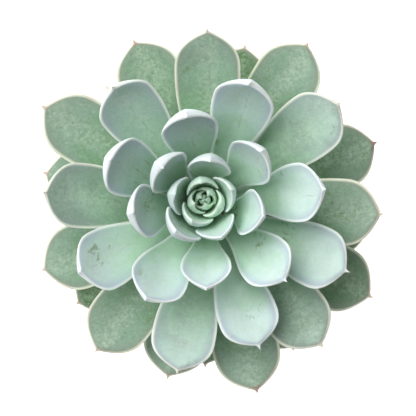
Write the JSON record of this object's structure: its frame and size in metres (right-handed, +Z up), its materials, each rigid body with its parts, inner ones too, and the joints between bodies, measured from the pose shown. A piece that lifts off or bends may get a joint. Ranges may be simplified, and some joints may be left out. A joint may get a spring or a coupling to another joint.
{
  "type": "potted succulent",
  "caption": "Rosette succulent with fleshy pointed leaves on a short stem, growing in soil in a plain tapered clay pot with a drain hole; stands free on a flat base.",
  "frame": {"origin": "on the surface that the pot stands on, under the middle of the object's box", "axes": "+Z up along the pot's axis; the rosette faces +Z and leans a little towards -X and +Y"},
  "size_m": [0.1168, 0.1238, 0.1291],
  "materials": {
    "clay": "unglazed fired clay, matte, with pale mineral bloom",
    "soil": "coarse moist potting mix with pale grit",
    "bark": "corky stem with old leaf scars",
    "leaf": "fleshy leaf with a pale powdery wax bloom and blushed tips"
  },
  "bodies": {
    "root": {"pot": "clay", "soil": "soil", "stem": "bark", "leaf_01": "leaf", "leaf_02": "leaf", "leaf_03": "leaf", "leaf_04": "leaf", "leaf_05": "leaf", "leaf_06": "leaf", "leaf_07": "leaf", "leaf_08": "leaf", "leaf_09": "leaf", "leaf_10": "leaf", "leaf_11": "leaf", "leaf_12": "leaf", "leaf_13": "leaf", "leaf_14": "leaf", "leaf_15": "leaf", "leaf_16": "leaf", "leaf_17": "leaf", "leaf_18": "leaf", "leaf_19": "leaf", "leaf_20": "leaf", "leaf_21": "leaf", "leaf_22": "leaf", "leaf_23": "leaf", "leaf_24": "leaf", "leaf_25": "leaf", "leaf_26": "leaf", "leaf_27": "leaf", "leaf_28": "leaf", "leaf_29": "leaf", "leaf_30": "leaf", "leaf_31": "leaf", "leaf_32": "leaf", "leaf_33": "leaf", "leaf_34": "leaf", "leaf_35": "leaf", "leaf_36": "leaf", "leaf_37": "leaf", "leaf_38": "leaf", "leaf_39": "leaf", "leaf_40": "leaf", "leaf_41": "leaf", "leaf_42": "leaf", "leaf_43": "leaf", "leaf_44": "leaf", "leaf_45": "leaf", "leaf_46": "leaf", "leaf_47": "leaf", "leaf_48": "leaf", "leaf_49": "leaf", "leaf_50": "leaf", "leaf_51": "leaf"}
  },
  "joints": []
}
